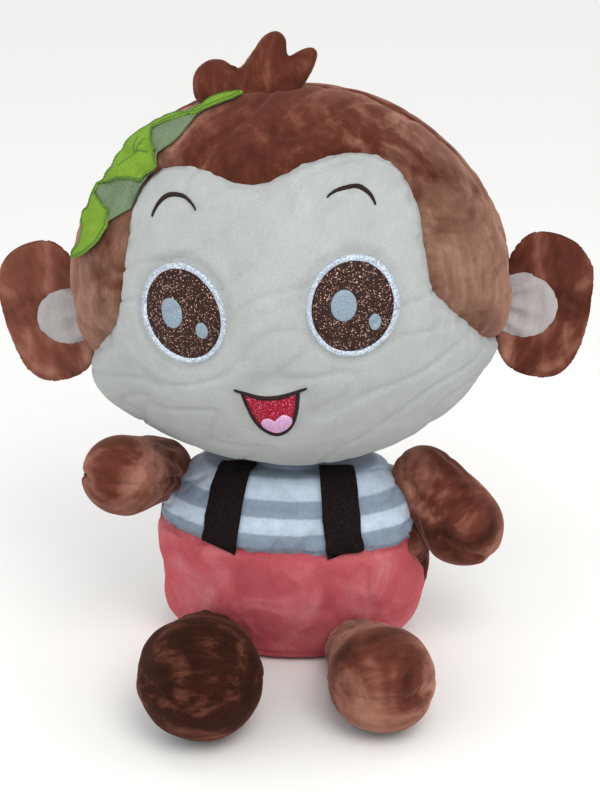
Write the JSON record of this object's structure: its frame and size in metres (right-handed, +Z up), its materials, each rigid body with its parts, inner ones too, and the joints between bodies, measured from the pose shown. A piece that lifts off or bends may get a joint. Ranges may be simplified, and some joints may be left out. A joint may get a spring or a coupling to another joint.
{
  "type": "stuffed plush monkey toy",
  "caption": "Seated stuffed plush monkey with a large round head, embroidered face, hair tuft, draped felt leaf, striped shirt, braces and shorts.",
  "frame": {"origin": "middle of the flat seat under the torso, on the surface that the toy sits on", "axes": "+Z up, the toy faces -Y, +X towards its own left hand"},
  "size_m": [0.333, 0.2436, 0.3584],
  "materials": {
    "brown_plush": "matte",
    "cream_plush": "matte",
    "grey_plush": "matte",
    "coral_plush": "matte",
    "striped_jersey": "matte",
    "brace_felt": "matte",
    "leaf_felt": "matte",
    "leaf_backing_felt": "matte",
    "rim_thread": "satin",
    "glint_thread": "satin",
    "iris_sequin_fabric": "satin",
    "outline_thread": "satin",
    "mouth_sequin_fabric": "satin",
    "tongue_thread": "satin",
    "stuffing": "matte"
  },
  "bodies": {
    "torso": {"shirt_front": "striped_jersey", "shorts_front": "coral_plush", "back_left": "brown_plush", "back_right": "brown_plush", "seat_panel": "coral_plush", "body_stuffing": "stuffing", "brace_left": "brace_felt", "brace_right": "brace_felt"},
    "neck": {"neck_stuffing": "stuffing"},
    "head": {"face_panel": "cream_plush", "hair_front_panel": "brown_plush", "head_back_left": "brown_plush", "head_back_right": "brown_plush", "head_stuffing": "stuffing", "eye_rim_left": "rim_thread", "eye_iris_left": "iris_sequin_fabric", "eye_glint_large_left": "glint_thread", "eye_glint_small_left": "glint_thread", "brow_left": "outline_thread", "eye_rim_right": "rim_thread", "eye_iris_right": "iris_sequin_fabric", "eye_glint_large_right": "glint_thread", "eye_glint_small_right": "glint_thread", "brow_right": "outline_thread", "mouth_outline": "outline_thread", "mouth_fill": "mouth_sequin_fabric", "tongue": "tongue_thread"},
    "ear_left": {"ear_front_left": "brown_plush", "ear_back_left": "brown_plush", "ear_inner_left": "grey_plush", "ear_wadding_left": "stuffing"},
    "ear_right": {"ear_front_right": "brown_plush", "ear_back_right": "brown_plush", "ear_inner_right": "grey_plush", "ear_wadding_right": "stuffing"},
    "tuft": {"tuft_front": "brown_plush", "tuft_back": "brown_plush", "tuft_wadding": "stuffing"},
    "leaf": {"leaf_backing": "leaf_backing_felt", "leaf_top": "leaf_felt"},
    "arm_right": {"arm_right_upper": "brown_plush", "arm_right_under": "brown_plush", "arm_right_stuffing": "stuffing"},
    "arm_left": {"arm_left_upper": "brown_plush", "arm_left_under": "brown_plush", "arm_left_stuffing": "stuffing"},
    "leg_right": {"leg_right_upper": "brown_plush", "leg_right_under": "brown_plush", "leg_right_stuffing": "stuffing"},
    "leg_left": {"leg_left_upper": "brown_plush", "leg_left_under": "brown_plush", "leg_left_stuffing": "stuffing"}
  },
  "joints": [
    {"name": "neck_turn", "type": "hinge", "parent": "torso", "child": "neck", "pos_m": [0, -0.007, 0.1], "axis": [0, 0, 1], "range_deg": [-25, 25], "stiffness_Nm_per_rad": 1},
    {"name": "head_nod", "type": "hinge", "parent": "neck", "child": "head", "pos_m": [0, -0.007, 0.113], "axis": [1, 0, 0], "range_deg": [-10, 10], "stiffness_Nm_per_rad": 3},
    {"name": "shoulder_right", "type": "hinge", "parent": "torso", "child": "arm_right", "pos_m": [-0.067, -0.022, 0.106], "axis": [-0.8593, 0.5115, 0], "range_deg": [-25, 12], "stiffness_Nm_per_rad": 0.5},
    {"name": "shoulder_left", "type": "hinge", "parent": "torso", "child": "arm_left", "pos_m": [0.0695, -0.01, 0.104], "axis": [-0.2609, -0.9654, 0], "range_deg": [-13, 30], "stiffness_Nm_per_rad": 0.5},
    {"name": "hip_right", "type": "hinge", "parent": "torso", "child": "leg_right", "pos_m": [-0.044, -0.058, 0.0205], "axis": [-0.9897, -0.1429, 0], "range_deg": [-20, 30], "stiffness_Nm_per_rad": 0.8},
    {"name": "hip_left", "type": "hinge", "parent": "torso", "child": "leg_left", "pos_m": [0.045, -0.057, 0.0205], "axis": [-0.9611, -0.2761, 0], "range_deg": [-20, 30], "stiffness_Nm_per_rad": 0.8},
    {"name": "ear_fold_left", "type": "hinge", "parent": "head", "child": "ear_left", "pos_m": [0.12686, -0.008, 0.20896], "axis": [-0.1271, 0, -0.9919], "range_deg": [-25, 35], "stiffness_Nm_per_rad": 0.1},
    {"name": "ear_fold_right", "type": "hinge", "parent": "head", "child": "ear_right", "pos_m": [-0.12526, -0.008, 0.19707], "axis": [-0.2199, 0, 0.9755], "range_deg": [-25, 35], "stiffness_Nm_per_rad": 0.1},
    {"name": "tuft_bend", "type": "hinge", "parent": "head", "child": "tuft", "pos_m": [-0.02319, -0.03, 0.32963], "axis": [0.9857, 0, 0.1685], "range_deg": [-25, 25], "stiffness_Nm_per_rad": 0.05},
    {"name": "leaf_lift", "type": "hinge", "parent": "head", "child": "leaf", "pos_m": [-0.02076, -0.048, 0.32063], "axis": [0, 1, 0], "range_deg": [0, 45], "stiffness_Nm_per_rad": 0.02}
  ]
}
